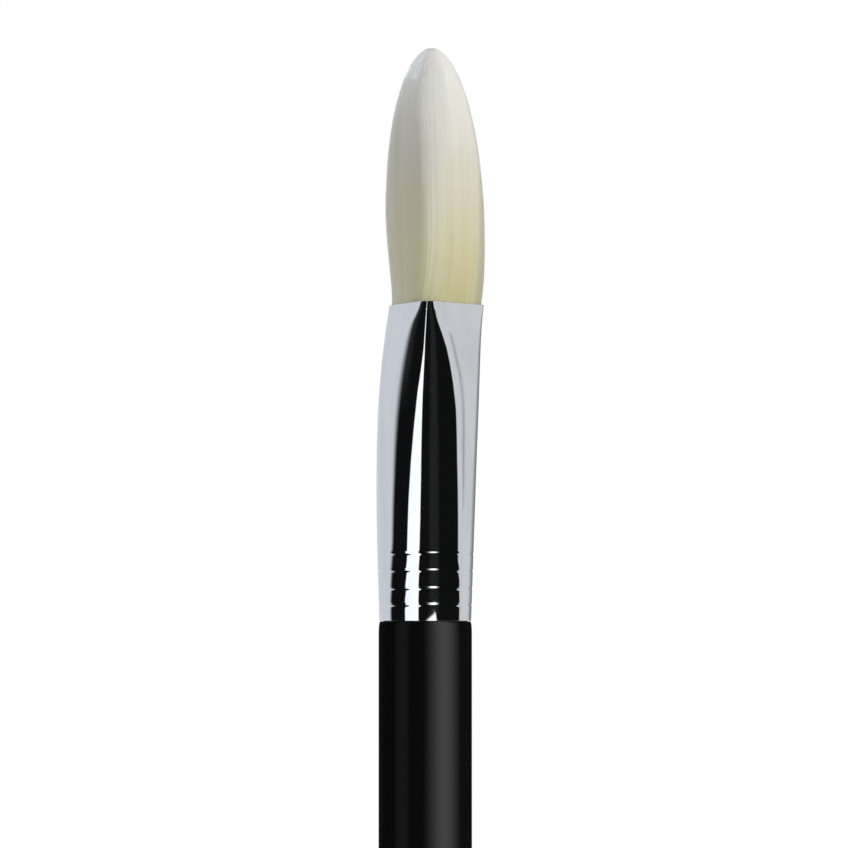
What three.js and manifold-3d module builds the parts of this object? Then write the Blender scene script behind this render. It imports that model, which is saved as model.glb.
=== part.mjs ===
// Concealer brush: a three-sided tuft of synthetic filaments, set in a polished ferrule that runs from round
// at the handle to triangular at its mouth, on a lacquered wooden handle.
// Millimetres. +Z runs from the handle's butt to the tip of the tuft, the origin is the centre of the butt's
// flat, and one edge of the triangle faces the front, -Y.
import * as THREE from 'three';
import { mergeGeometries, mergeVertices } from 'three/addons/utils/BufferGeometryUtils.js';
import Module from 'manifold-3d';

const wasm = await Module();
wasm.setup();

// Handle
const handleLength = 121;
const gripDiameter = 9.6;
const gripLength = 32;
const buttDiameter = 5.8;
const buttRoundLength = 4.5;
const buttFlatDiameter = 2.4;
const shoulderEaseDepth = 0.2;
const shoulderEaseLength = 1.3;
const tenonLength = 12;
const tenonTaper = 0.37;
const tenonChamfer = 0.7;

// Ferrule
const ferruleLength = 32.8;
const ferruleWall = 0.3;
const footStep = 0.08;
const bellySwell = 0.43;
const bellyHeight = 20;
const mouthCornerReach = 4.6;
const mouthCornerRadius = 0.95;
const mouthLip = 0.9;
const mouthOffset = 0.88;
const crimpCount = 4;
const crimpFirstHeight = 1.85;
const crimpPitch = 1.77;
const crimpWidth = 0.5;
const crimpDepth = 0.1;

// What is set inside the ferrule
const rootDepth = 5.5;
const rootSliceThickness = 1;
const plugLength = 6.5;
const glueCapThickness = 0.8;
const threadDiameter = 0.4;
const threadPitch = 0.9;
const threadTurns = 3;

// Tuft
const tuftLength = 26.4;
const tuftBellyHeight = 9;
const tuftBellySpread = 0.73;
const tuftTipOffset = 0.5;
const filamentRows = 9;
const filamentThickness = 0.3;
const filamentConvergence = 0.75;
const filamentGather = 0.994;
const filamentEdgeShare = 0.95;
const filamentStagger = 0.02;
const filamentBendShare = 0.65;
const filamentBendThickness = 0.21;

// Clearances: the glue line between pieces that are set in each other, and the seam where faces meet
const glueLine = 0.1;
const seam = 0.05;

// Facets
const arcSteps = 14;
const sides = 3 * arcSteps;
const curveSteps = 7;
const transitionSteps = 14;
const threadSides = 6;
const threadStepsPerTurn = 24;
const edgeTolerance = 1e-6;

// Derived sizes, with heights counted from the ferrule's foot
const gripRadius = gripDiameter / 2;
const buttRadius = buttDiameter / 2;
const footRadius = gripRadius - footStep;
const bellyRadius = footRadius + bellySwell;
const tenonRadius = footRadius - ferruleWall - glueLine;
const tenonTipRadius = tenonRadius - tenonTaper;
const transitionHeight = ferruleLength - mouthLip;
const cornerPerimeterShare = (3 * Math.sqrt(3)) / (2 * Math.PI);
const mouthGirthRadius = mouthCornerRadius + mouthCornerReach * cornerPerimeterShare;
const rootTop = ferruleLength - rootDepth;
const rootBottom = rootTop - rootSliceThickness;
const plugTop = rootBottom - seam;
const plugBottom = plugTop - plugLength;
const crimpHeights = Array.from({ length: crimpCount }, (_, k) => crimpFirstHeight + k * crimpPitch);
const crimpStations = crimpHeights.flatMap((h) => [h - crimpWidth / 2, h, h + crimpWidth / 2]);
const crimpTop = crimpHeights.at(-1) + crimpWidth;
const thirdTurn = (2 * Math.PI) / 3;
const cornerAngles = [0, 1, 2].map((k) => -Math.PI / 2 + k * thirdTurn);

// Materials
const lacquer = new THREE.MeshStandardMaterial({ color: 0x0b0a0b, roughness: 0.3, metalness: 0 });
const polishedNickel = new THREE.MeshStandardMaterial({ color: 0xd4d6da, roughness: 0.08, metalness: 1 });
const fibre = new THREE.MeshStandardMaterial({ color: 0xe6e2cf, roughness: 0.6, metalness: 0 });
const epoxy = new THREE.MeshStandardMaterial({ color: 0xc9a45c, roughness: 0.25, metalness: 0 });
const cotton = new THREE.MeshStandardMaterial({ color: 0xe8e2d2, roughness: 0.9, metalness: 0 });
const glue = new THREE.MeshStandardMaterial({ color: 0xe3d9b4, roughness: 0.4, metalness: 0 });

// Solids

// Joins rings of points into one closed surface. A looped loft joins its last ring to its first, as a tube's
// wall does; any other is capped, and a last ring of one point closes it to a tip.
function loft(rings, looped = false) {
  const count = rings[0].length;
  const index = [];
  const spans = looped ? rings.length : rings.length - 1;
  for (let row = 0; row < spans; row += 1) {
    const above = (row + 1) % rings.length;
    const pointed = rings[above].length === 1;
    for (let i = 0; i < count; i += 1) {
      const j = (i + 1) % count;
      const here = row * count;
      const there = above * count;
      if (pointed) {
        index.push(here + i, here + j, there);
      } else {
        index.push(here + i, here + j, there + j, here + i, there + j, there + i);
      }
    }
  }
  if (!looped) {
    const top = (rings.length - 1) * count;
    for (let i = 1; i < count - 1; i += 1) {
      index.push(0, i + 1, i);
      if (rings.at(-1).length > 1) index.push(top, top + i, top + i + 1);
    }
  }
  const geometry = new THREE.BufferGeometry().setFromPoints(rings.flat());
  geometry.setIndex(index);
  return geometry;
}

// A closed geometry as a solid that can be joined and cut.
function toSolid(geometry) {
  const bare = geometry.clone();
  bare.deleteAttribute('normal');
  bare.deleteAttribute('uv');
  const merged = mergeVertices(bare);
  return new wasm.Manifold(
    new wasm.Mesh({
      numProp: 3,
      vertProperties: merged.attributes.position.array,
      triVerts: new Uint32Array(merged.index.array),
    }),
  );
}

// A joined or cut solid as a geometry.
function toGeometry(solid) {
  const made = solid.getMesh();
  const geometry = new THREE.BufferGeometry();
  geometry.setAttribute('position', new THREE.BufferAttribute(made.vertProperties, 3));
  geometry.setIndex(new THREE.BufferAttribute(made.triVerts, 1));
  return geometry;
}

// A profile of radius and height turned about +Z.
function turned(profile) {
  return new THREE.LatheGeometry(profile, sides).rotateX(Math.PI / 2);
}

function named(name, geometry, material) {
  const mesh = new THREE.Mesh(geometry, material);
  mesh.name = name;
  return mesh;
}

// The ferrule's form

// How far a rolled crimp presses the wall in at a height.
function crimpDip(height) {
  const nearest = Math.min(...crimpHeights.map((h) => Math.abs(height - h)));
  return crimpDepth * Math.max(0, 1 - nearest / (crimpWidth / 2));
}

// Radius of the round tube with the same girth: it swells from the foot to the belly and draws in to the mouth.
function girthRadius(height) {
  if (height < bellyHeight) {
    const rise = Math.max(0, height / bellyHeight);
    return footRadius + bellySwell * Math.sin((rise * Math.PI) / 2);
  }
  const fall = Math.min(1, (height - bellyHeight) / (transitionHeight - bellyHeight));
  return mouthGirthRadius + (bellyRadius - mouthGirthRadius) * Math.cos((fall * Math.PI) / 2);
}

// The section at a height is a rounded triangle: arcs of one radius about three corners that stand at one
// reach from its middle. The reach grows along a quarter ellipse, which strikes a pointed arch into each side.
function ferruleSection(height, inset = 0) {
  const rise = Math.min(1, Math.max(0, height / transitionHeight));
  const reach = mouthCornerReach * (1 - Math.sqrt(1 - rise * rise));
  const radius = girthRadius(height) - reach * cornerPerimeterShare - crimpDip(height) - inset;
  return { reach, radius, shift: mouthOffset * rise * rise };
}

function sectionPoint({ reach, radius, shift }, corner, normal, height) {
  const x = shift + reach * Math.cos(corner) + radius * Math.cos(normal);
  const y = reach * Math.sin(corner) + radius * Math.sin(normal);
  return new THREE.Vector3(x, y, height);
}

function sectionRing(section, height) {
  return cornerAngles.flatMap((corner) =>
    Array.from({ length: arcSteps }, (_, i) => {
      const turn = ((i + 0.5) / arcSteps - 0.5) * thirdTurn;
      return sectionPoint(section, corner, corner + turn, height);
    }),
  );
}

// A ring just inside the ferrule's bore, for what is set in it.
function boreRing(height, inset = glueLine) {
  return sectionRing(ferruleSection(height, ferruleWall + inset), height);
}

// Pieces

// Turned handle: small flat at the butt, round end, long taper, straight grip, eased shoulder, and a tapered
// tenon that the crimps bite into.
function handleGeometry() {
  const profile = new THREE.Path();
  const taperTop = handleLength - gripLength;
  const taperPull = (taperTop - buttRoundLength) / 3;
  profile.moveTo(0, 0);
  profile.lineTo(buttFlatDiameter / 2, 0);
  profile.quadraticCurveTo(buttRadius, 0, buttRadius, buttRoundLength);
  profile.bezierCurveTo(
    buttRadius, buttRoundLength + taperPull,
    gripRadius, taperTop - taperPull,
    gripRadius, taperTop,
  );
  profile.lineTo(gripRadius, handleLength - shoulderEaseLength);
  profile.quadraticCurveTo(gripRadius, handleLength, gripRadius - shoulderEaseDepth, handleLength);
  profile.lineTo(tenonRadius, handleLength);
  for (const h of crimpStations) {
    profile.lineTo(tenonRadius - crimpDip(h), handleLength + seam + h);
  }
  profile.lineTo(tenonTipRadius, handleLength + tenonLength - tenonChamfer);
  profile.lineTo(tenonTipRadius - tenonChamfer, handleLength + tenonLength);
  profile.lineTo(0, handleLength + tenonLength);
  return turned(profile.getPoints(curveSteps));
}

// Drawn metal tube of even wall, with the crimps rolled in near the foot.
function ferruleGeometry() {
  const startAngle = Math.asin(crimpTop / transitionHeight);
  const transition = Array.from({ length: transitionSteps + 1 }, (_, i) => {
    const angle = startAngle + ((Math.PI / 2 - startAngle) * i) / transitionSteps;
    return transitionHeight * Math.sin(angle);
  });
  const heights = [0, ...crimpStations, ...transition, ferruleLength];
  const outside = heights.map((h) => sectionRing(ferruleSection(h), h));
  const inside = heights.map((h) => sectionRing(ferruleSection(h, ferruleWall), h)).reverse();
  return loft([...outside, ...inside], true);
}

// Glue that was pushed up by the tenon: a cap over its end with a skirt around its taper.
function tenonGlueGeometry() {
  const capBottom = tenonLength - seam + glueLine;
  const capTop = capBottom + glueCapThickness;
  const cast = loft([crimpTop, (crimpTop + capTop) / 2, capTop].map((h) => boreRing(h)));
  const hollow = turned([
    new THREE.Vector2(0, 0),
    new THREE.Vector2(tenonRadius + glueLine, 0),
    new THREE.Vector2(tenonRadius + glueLine, crimpTop),
    new THREE.Vector2(tenonTipRadius + glueLine, capBottom - tenonChamfer),
    new THREE.Vector2(tenonTipRadius + glueLine - tenonChamfer, capBottom),
    new THREE.Vector2(0, capBottom),
  ]);
  return toGeometry(toSolid(cast).subtract(toSolid(hollow)));
}

// Cast resin around the filament roots, with a waist for the thread.
const waistHeight = threadTurns * threadPitch + 2 * threadDiameter;
const waistMiddle = (plugTop + plugBottom) / 2;
const waistInset = threadDiameter + 2 * glueLine;

function rootPlugGeometry() {
  const low = waistMiddle - waistHeight / 2;
  const high = waistMiddle + waistHeight / 2;
  return loft([
    boreRing(plugBottom),
    boreRing(low),
    boreRing(low, glueLine + waistInset),
    boreRing(high, glueLine + waistInset),
    boreRing(high),
    boreRing(plugTop),
  ]);
}

// Thread wound round the roots, lying in the plug's waist.
function rootBindingGeometry() {
  const inset = ferruleWall + 2 * glueLine + threadDiameter / 2;
  const stepCount = threadTurns * threadStepsPerTurn;
  const perCorner = threadStepsPerTurn / 3;
  const bottom = waistMiddle - (threadTurns * threadPitch) / 2;
  const points = Array.from({ length: stepCount + 1 }, (_, i) => {
    const height = bottom + (threadPitch * i) / threadStepsPerTurn;
    const corner = cornerAngles[Math.floor(i / perCorner) % 3];
    const turn = (((i % perCorner) + 0.5) / perCorner - 0.5) * thirdTurn;
    return sectionPoint(ferruleSection(height, inset), corner, corner + turn, height);
  });
  const gap = points.slice(threadStepsPerTurn).reduce(
    (least, p, i) => Math.min(least, p.distanceTo(points[i]) - threadDiameter),
    Infinity,
  );
  console.log(`root_binding: least gap between turns ${gap.toFixed(2)} mm`);
  const section = new THREE.Shape(
    Array.from({ length: threadSides }, (_, i) => {
      const angle = (i * 2 * Math.PI) / threadSides;
      return new THREE.Vector2(Math.cos(angle), Math.sin(angle)).multiplyScalar(threadDiameter / 2);
    }),
  );
  const path = new THREE.CatmullRomCurve3(points);
  return new THREE.ExtrudeGeometry(section, { steps: stepCount, extrudePath: path, bevelEnabled: false });
}

// The part of the mouth that the middles of the filaments fill.
const filamentMouth = ferruleSection(ferruleLength, ferruleWall + seam + filamentThickness / 4);

// Filaments of three mixed lengths stand on a triangular lattice that fills the mouth. They spread from the root
// to the tuft's belly, draw together above it, and end about the tuft's outline, half an ellipse above the belly.
function tuftGeometry() {
  const bellyTop = ferruleLength + tuftBellyHeight;
  const tip = ferruleLength + tuftLength;
  const strands = latticePoints(filamentMouth).map(({ x, y, share, stagger }) => {
    const endShare = share * (filamentEdgeShare + filamentStagger * stagger);
    const endShrink = endShare ** (1 / (1 - filamentConvergence));
    const end = bellyTop + (tip - bellyTop) * Math.sqrt(1 - endShrink ** 2);
    const bend = bellyTop + (end - bellyTop) * filamentBendShare;
    const stations = [
      { height: rootTop - rootSliceThickness / 2, thickness: filamentThickness },
      { height: bellyTop, thickness: filamentThickness },
      { height: bend, thickness: filamentBendThickness },
    ];
    const rings = stations.map(({ height, thickness }) =>
      strandRing(strandPoint(x, y, height), thickness),
    );
    return loft([...rings, [strandPoint(x, y, end)]]);
  });
  console.log(`filament_tuft: ${strands.length} filaments`);
  const slice = loft([boreRing(rootBottom), boreRing(rootTop)]);
  return toGeometry(toSolid(mergeGeometries(strands)).add(toSolid(slice)));
}

// Lattice points inside a section whose outer rows lie along its flat sides. Each has its share of the way out
// from the middle to the edge, and a stagger of -1, 0 or 1 that no two neighbours have in common.
function latticePoints(section) {
  const rowPitch = (section.reach / 2 + section.radius) / filamentRows;
  const pitch = rowPitch / Math.cos(thirdTurn / 4);
  const span = 3 * filamentRows;
  const points = [];
  for (let row = -span; row <= span; row += 1) {
    for (let column = -span; column <= span; column += 1) {
      const x = (column + row / 2) * pitch;
      const y = row * rowPitch;
      const share = Math.hypot(x, y) / sectionEdge(section, Math.atan2(y, x));
      const stagger = THREE.MathUtils.euclideanModulo(column - row, 3) - 1;
      if (share < 1 + edgeTolerance) points.push({ x, y, share, stagger });
    }
  }
  return points;
}

// Distance from a section's middle to its edge in a direction: along a corner's arc or a flat side.
function sectionEdge({ reach, radius }, direction) {
  const half = thirdTurn / 2;
  const offset = Math.abs(THREE.MathUtils.euclideanModulo(direction - cornerAngles[0] + half, thirdTurn) - half);
  const arcEnd = Math.atan2(radius * Math.sin(half), reach + radius * Math.cos(half));
  if (offset < arcEnd) {
    return reach * Math.cos(offset) + Math.sqrt(radius ** 2 - (reach * Math.sin(offset)) ** 2);
  }
  return (reach / 2 + radius) / Math.cos(half - offset);
}

// Where a filament that crosses the mouth at x, y is at a height.
function strandPoint(x, y, height) {
  const out = height - ferruleLength;
  const rise = Math.max(0, (out - tuftBellyHeight) / (tuftLength - tuftBellyHeight));
  const bellySpread = tuftBellySpread / (filamentMouth.reach + filamentMouth.radius);
  const spread = 1 + (bellySpread * Math.min(out, tuftBellyHeight)) / tuftBellyHeight;
  const draw = (1 - filamentGather * Math.min(1, rise) ** 2) ** (filamentConvergence / 2);
  const shift = mouthOffset + (tuftTipOffset - mouthOffset) * Math.max(0, out / tuftLength);
  return new THREE.Vector3(shift + x * spread * draw, y * spread * draw, height);
}

// A filament is three-sided and turned the same way as the tuft, so that its sides face its neighbours' sides.
function strandRing(middle, thickness) {
  return cornerAngles.map((angle) => {
    const offset = new THREE.Vector3(Math.cos(angle), Math.sin(angle), 0);
    return offset.multiplyScalar(thickness / 2).add(middle);
  });
}

// Assembly: the head stands on the handle's shoulder, round its tenon
const head = new THREE.Group();
head.position.z = handleLength + seam;
head.add(
  named('ferrule', ferruleGeometry(), polishedNickel),
  named('tenon_glue', tenonGlueGeometry(), glue),
  named('root_plug', rootPlugGeometry(), epoxy),
  named('root_binding', rootBindingGeometry(), cotton),
  named('filament_tuft', tuftGeometry(), fibre),
);

const brush = new THREE.Group();
brush.add(named('handle', handleGeometry(), lacquer), head);

export default brush;
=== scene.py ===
"""The looks of a concealer brush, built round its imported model.

Sizes are in millimetres, as on the maker's drawing, and become metres where a mesh is written.
+Z runs from the handle's butt to the tip of the tuft, and one edge of the three-sided head faces -Y.
"""

import logging
import math
from collections.abc import Mapping, Sequence
from dataclasses import dataclass
from enum import Enum
from itertools import pairwise
from typing import Any, ClassVar, Union

import bpy
import numpy as np
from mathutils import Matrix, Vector


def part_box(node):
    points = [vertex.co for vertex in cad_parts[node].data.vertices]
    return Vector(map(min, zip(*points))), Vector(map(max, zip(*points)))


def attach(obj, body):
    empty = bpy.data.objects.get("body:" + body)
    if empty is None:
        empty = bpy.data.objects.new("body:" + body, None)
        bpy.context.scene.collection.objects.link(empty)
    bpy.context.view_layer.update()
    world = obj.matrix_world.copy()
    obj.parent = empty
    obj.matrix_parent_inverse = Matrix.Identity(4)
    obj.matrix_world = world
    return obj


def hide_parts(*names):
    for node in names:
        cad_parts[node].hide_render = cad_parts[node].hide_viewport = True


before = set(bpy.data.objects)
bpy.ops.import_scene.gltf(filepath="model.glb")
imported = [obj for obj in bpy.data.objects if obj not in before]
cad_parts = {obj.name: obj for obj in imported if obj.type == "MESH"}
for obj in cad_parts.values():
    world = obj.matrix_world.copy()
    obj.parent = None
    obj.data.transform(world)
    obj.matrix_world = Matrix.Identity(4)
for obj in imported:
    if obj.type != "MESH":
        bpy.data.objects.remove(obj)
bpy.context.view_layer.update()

LOG = logging.getLogger("concealer_brush")
MM = 0.001
DEGREES = 180 / math.pi
THIRD_TURN = 2 * math.pi / 3
FRONT_CORNER = -math.pi / 2
FLAT_PER_REACH = math.sqrt(3)
SEEING_RAYS = ("Camera", "Glossy", "Transmission")
ROW_RISE = math.sqrt(0.75)
TINY = 1e-9
WHITE = (1.0, 1.0, 1.0)
COOL = (0.86, 0.97, 1.14)

# How much lower the worn mouth and tip are than the model's
LIP_WEAR = 0.15
TIP_WEAR = 0.12

Colour = tuple[float, float, float]
Grain = tuple[float, float, float]
Operand = Union["Wire", float]


# Shader graphs


class Wire:
    """A node's output socket, on which Python's operators add Math nodes."""

    def __init__(self, graph: "Graph", socket: bpy.types.NodeSocket) -> None:
        """Wrap a socket.

        Args:
            graph: The graph that the socket's node is in.
            socket: The output socket.
        """
        self.graph = graph
        self.socket = socket

    def __add__(self, other: Operand) -> "Wire":
        """This value plus another."""
        return self.graph.math("ADD", self, other)

    def __radd__(self, other: Operand) -> "Wire":
        """Another value plus this one."""
        return self.graph.math("ADD", other, self)

    def __sub__(self, other: Operand) -> "Wire":
        """This value less another."""
        return self.graph.math("SUBTRACT", self, other)

    def __rsub__(self, other: Operand) -> "Wire":
        """Another value less this one."""
        return self.graph.math("SUBTRACT", other, self)

    def __mul__(self, other: Operand) -> "Wire":
        """This value times another."""
        return self.graph.math("MULTIPLY", self, other)

    def __rmul__(self, other: Operand) -> "Wire":
        """Another value times this one."""
        return self.graph.math("MULTIPLY", other, self)

    def __truediv__(self, other: Operand) -> "Wire":
        """This value divided by another."""
        return self.graph.math("DIVIDE", self, other)

    def __rtruediv__(self, other: Operand) -> "Wire":
        """Another value divided by this one."""
        return self.graph.math("DIVIDE", other, self)


class Graph:
    """Adds nodes to one node tree."""

    def __init__(self, tree: bpy.types.NodeTree) -> None:
        """Start with an empty tree.

        Args:
            tree: The node tree, which is cleared.
        """
        self.tree = tree
        tree.nodes.clear()

    def add(
        self,
        kind: str,
        settings: Mapping[str, Any] | None = None,
        sockets: Mapping[str | int, Any] | None = None,
        output: str | int = 0,
    ) -> Wire | None:
        """Add one node.

        Args:
            kind: The node's type.
            settings: Its properties, set before its sockets. A ramp's are given as stops.
            sockets: Values or wires for its inputs, by name or number.
            output: The output that is wanted, by name or number.

        Returns:
            The wanted output, or None where the node has none.
        """
        node = self.tree.nodes.new(kind)
        for name, value in (settings or {}).items():
            if name == "stops":
                self._set_stops(node.color_ramp, value)
            else:
                setattr(node, name, value)
        for name, value in (sockets or {}).items():
            socket = self._pick(node.inputs, name)
            if isinstance(value, Wire):
                self.tree.links.new(value.socket, socket)
            elif socket.type == "RGBA":
                socket.default_value = (*value, 1.0)
            else:
                socket.default_value = value
        return Wire(self, self._pick(node.outputs, output)) if node.outputs else None

    def math(self, operation: str, *operands: Operand) -> Wire:
        """A Math node of one operation.

        Args:
            operation: The operation's name.
            operands: Its values, in order.

        Returns:
            The result.
        """
        return self.add("ShaderNodeMath", {"operation": operation}, dict(enumerate(operands)))

    def mix(self, share: Operand, first: Wire | Colour, second: Wire | Colour) -> Wire:
        """A mix of two colours.

        Args:
            share: How much of the second colour there is.
            first: The colour at no share.
            second: The colour at full share.

        Returns:
            The mixed colour.
        """
        sockets = {"Factor": share, "A": first, "B": second}
        return self.add("ShaderNodeMix", {"data_type": "RGBA"}, sockets, "Result")

    def tint(self, colour: Wire | Colour, level: Operand) -> Wire:
        """A colour made lighter or darker by a level."""
        settings = {"operation": "SCALE"}
        return self.add("ShaderNodeVectorMath", settings, {0: colour, "Scale": level})

    def place(self) -> Wire:
        """A surface point's place in the brush's frame, in metres."""
        return self.add("ShaderNodeTexCoord", output="Object")

    def seen(self) -> Wire:
        """1 for what the camera, a mirror or glass looks at, and 0 for other rays."""
        rays = sum(self.add("ShaderNodeLightPath", output=f"Is {ray} Ray") for ray in SEEING_RAYS)
        return self.math("MINIMUM", rays, 1.0)

    def parts(self, vector: Wire) -> tuple[Wire, Wire, Wire]:
        """A vector's three numbers.

        Args:
            vector: The vector.

        Returns:
            Its X, Y and Z.
        """
        split = self.add("ShaderNodeSeparateXYZ", sockets={0: vector}).socket.node
        return tuple(Wire(self, socket) for socket in split.outputs)

    def ramp(
        self, value: Wire, start: float, end: float, low: float = 0.0, high: float = 1.0
    ) -> Wire:
        """A smooth step.

        Args:
            value: What the step depends on.
            start: The value where it starts.
            end: The value where it ends.
            low: The result before the start.
            high: The result after the end.

        Returns:
            The stepped value.
        """
        limits = {"From Min": start, "From Max": end, "To Min": low, "To Max": high}
        settings = {"interpolation_type": "SMOOTHSTEP"}
        return self.add("ShaderNodeMapRange", settings, {"Value": value, **limits})

    def noise(self, grain: Grain, detail: float = 2.0) -> Wire:
        """Noise whose grain has a size of its own along each axis.

        Args:
            grain: The grain's size along X, Y and Z, in millimetres.
            detail: How many finer layers it has.

        Returns:
            A value about 0.5.
        """
        scale = tuple(1 / (size * MM) for size in grain)
        settings = {"operation": "MULTIPLY"}
        spread = self.add("ShaderNodeVectorMath", settings, {0: self.place(), 1: scale})
        sockets = {"Vector": spread, "Scale": 1.0, "Detail": detail}
        return self.add("ShaderNodeTexNoise", sockets=sockets)

    def bump(self, height: Wire, depth: float) -> Wire:
        """A normal from a relief.

        Args:
            height: The relief, from 0 to 1.
            depth: Its full depth in millimetres.

        Returns:
            The normal.
        """
        sockets = {"Height": height, "Strength": 1.0, "Distance": depth * MM}
        return self.add("ShaderNodeBump", sockets=sockets)

    @staticmethod
    def _pick(sockets: Any, name: str | int) -> bpy.types.NodeSocket:
        """The socket in use that has a name or a number.

        Args:
            sockets: A node's inputs or outputs.
            name: The name or the number.

        Returns:
            The socket.
        """
        if isinstance(name, int):
            return sockets[name]
        return next(s for s in sockets if s.name == name and s.enabled)

    @staticmethod
    def _set_stops(ramp: bpy.types.ColorRamp, stops: Sequence[tuple[float, Colour]]) -> None:
        """Give a colour ramp its stops.

        Args:
            ramp: The ramp.
            stops: Each stop's place and colour, in order.
        """
        while len(ramp.elements) < len(stops):
            ramp.elements.new(1.0)
        for element, (place, colour) in zip(ramp.elements, stops, strict=True):
            element.position = place
            element.color = (*colour, 1.0)


# Finishes


@dataclass(frozen=True)
class Finish:
    """A material of the brush, made of nodes."""

    name: str

    def surface(self, graph: Graph) -> Wire:
        """The finish's shader."""
        raise NotImplementedError

    def material(self) -> bpy.types.Material:
        """Make the material.

        Returns:
            The new material.
        """
        made = bpy.data.materials.new(self.name)
        made.use_nodes = True
        graph = Graph(made.node_tree)
        graph.add("ShaderNodeOutputMaterial", sockets={"Surface": self.surface(graph)})
        return made


@dataclass(frozen=True)
class BlackLacquer(Finish):
    """Black lacquer, flowed out over turned wood with a faint orange peel."""

    colour: Colour = (0.0035, 0.0033, 0.0036)
    worn: Colour = (0.006, 0.0057, 0.006)
    roughness: float = 0.12
    roughness_spread: float = 0.04
    haze_grain: Grain = (3.0, 3.0, 14.0)
    peel_grain: Grain = (0.9, 0.9, 0.9)
    peel_depth: float = 0.0012

    def surface(self, graph: Graph) -> Wire:
        """The lacquer's shader.

        Args:
            graph: The graph that its nodes are added to.

        Returns:
            The shader.
        """
        haze = graph.noise(self.haze_grain, detail=4.0)
        peel = graph.noise(self.peel_grain, detail=1.0)
        sockets = {
            "Base Color": graph.mix(haze, self.colour, self.worn),
            "Roughness": self.roughness + self.roughness_spread * (haze - 0.5),
            "Normal": graph.bump(peel, self.peel_depth),
        }
        return graph.add("ShaderNodeBsdfPrincipled", sockets=sockets)


@dataclass(frozen=True)
class GrainedFinish(Finish):
    """Wood, cast resin, glue or thread, whose tone, gloss and relief all follow one grain."""

    dark: Colour
    light: Colour
    grain: Grain
    detail: float
    contrast: tuple[float, float]
    roughness: float
    roughness_spread: float
    depth: float

    def surface(self, graph: Graph) -> Wire:
        """The grained shader.

        Args:
            graph: The graph that its nodes are added to.

        Returns:
            The shader.
        """
        grain = graph.noise(self.grain, detail=self.detail)
        sockets = {
            "Base Color": graph.mix(graph.ramp(grain, *self.contrast), self.dark, self.light),
            "Roughness": self.roughness + self.roughness_spread * (grain - 0.5),
            "Normal": graph.bump(grain, self.depth),
        }
        return graph.add("ShaderNodeBsdfPrincipled", sockets=sockets)


@dataclass(frozen=True)
class PolishedNickel(Finish):
    """Bright nickel plate, with the faint long marks of the polishing wheel."""

    colour: Colour = (0.80, 0.815, 0.835)
    dull: Colour = (0.74, 0.755, 0.775)
    roughness: float = 0.035
    mark_grain: Grain = (0.25, 0.25, 6.0)
    mark_contrast: tuple[float, float] = (0.52, 0.75)
    mark_roughness: float = 0.05
    mark_depth: float = 0.00004
    cloud_grain: Grain = (2.5, 2.5, 8.0)
    cloud_contrast: tuple[float, float] = (0.4, 0.8)

    def surface(self, graph: Graph) -> Wire:
        """The plate's shader.

        Args:
            graph: The graph that its nodes are added to.

        Returns:
            The shader.
        """
        marks = graph.noise(self.mark_grain, detail=3.0)
        cloud = graph.ramp(graph.noise(self.cloud_grain, detail=2.0), *self.cloud_contrast)
        rubbed = graph.ramp(marks, *self.mark_contrast)
        sockets = {
            "Base Color": graph.mix(cloud, self.colour, self.dull),
            "Metallic": 1.0,
            "Roughness": self.roughness + self.mark_roughness * rubbed,
            "Normal": graph.bump(marks, self.mark_depth),
        }
        return graph.add("ShaderNodeBsdfPrincipled", sockets=sockets)


class FibreForm(Enum):
    """Where the fibre finish takes its tones from."""

    STRAND = "one tone to each filament"
    BED = "streaks along the packed filaments"


@dataclass(frozen=True)
class Fibre(Finish):
    """Synthetic filaments, cream at the ferrule and nearly white at their tapered ends, with painted
    shade darkening them towards the ferrule and a painted shadow line at the mouth.
    """

    form: FibreForm
    mouth: float
    length: float
    # Colour by height above the mouth: the cream towards the ferrule is partly the filaments' own
    # colour and partly painted shade, and the darker first stop is a painted shadow line at the
    # mouth.
    stops: tuple[tuple[float, Colour], ...] = (
        (0.0, (0.60, 0.552, 0.303)),
        (0.015, (0.645, 0.592, 0.325)),
        (0.20, (0.73, 0.670, 0.414)),
        (0.40, (0.785, 0.728, 0.555)),
        (0.58, (0.82, 0.794, 0.688)),
        (0.78, (0.902, 0.887, 0.808)),
        (1.0, (0.93, 0.927, 0.915)),
    )
    darkest: float = 0.93
    lightest: float = 1.04
    bed_level: float = 0.97
    roughness: float = 0.36
    shine: float = 1.0
    sheen: float = 0.65
    sheen_roughness: float = 0.35
    tone_spacing: float = 97.0
    streaks_up: float = 3.0
    streak_grain: Grain = (0.16, 0.16, 7.0)
    streak_depth: float = 0.02
    streak_drift: float = 0.1

    def surface(self, graph: Graph) -> Wire:
        """The fibre's shader.

        Args:
            graph: The graph that its nodes are added to.

        Returns:
            The shader.
        """
        height = (graph.parts(graph.place())[2] / MM - self.mouth) / self.length
        sockets: dict[str | int, Any] = {
            "Specular IOR Level": self.shine,
            "Roughness": self.roughness,
            "Sheen Weight": self.sheen,
            "Sheen Roughness": self.sheen_roughness,
        }
        if self.form is FibreForm.STRAND:
            across, up, _ = graph.parts(graph.add("ShaderNodeUVMap", {"uv_map": Strands.MAP}))
            tone = graph.math("FLOOR", across * Strands.TONES) / Strands.TONES
            place = {"X": self.tone_spacing * tone, "Y": self.streaks_up * up}
            spot = graph.add("ShaderNodeCombineXYZ", sockets=place)
            streak = graph.add("ShaderNodeTexNoise", sockets={"Vector": spot, "Scale": 1.0})
            level = self.darkest + (self.lightest - self.darkest) * tone
        else:
            streak = graph.noise(self.streak_grain, detail=3.0)
            level = self.bed_level * (self.darkest + (self.lightest - self.darkest) * streak)
            sockets["Normal"] = graph.bump(streak, self.streak_depth)
        drifted = height + self.streak_drift * (streak - 0.5)
        # The ramp by height gives the filaments' colour together with painted shade towards the
        # mouth.
        shade = graph.add("ShaderNodeValToRGB", {"stops": self.stops}, {0: drifted})
        sockets["Base Color"] = graph.tint(shade, level)
        return graph.add("ShaderNodeBsdfPrincipled", sockets=sockets)


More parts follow.
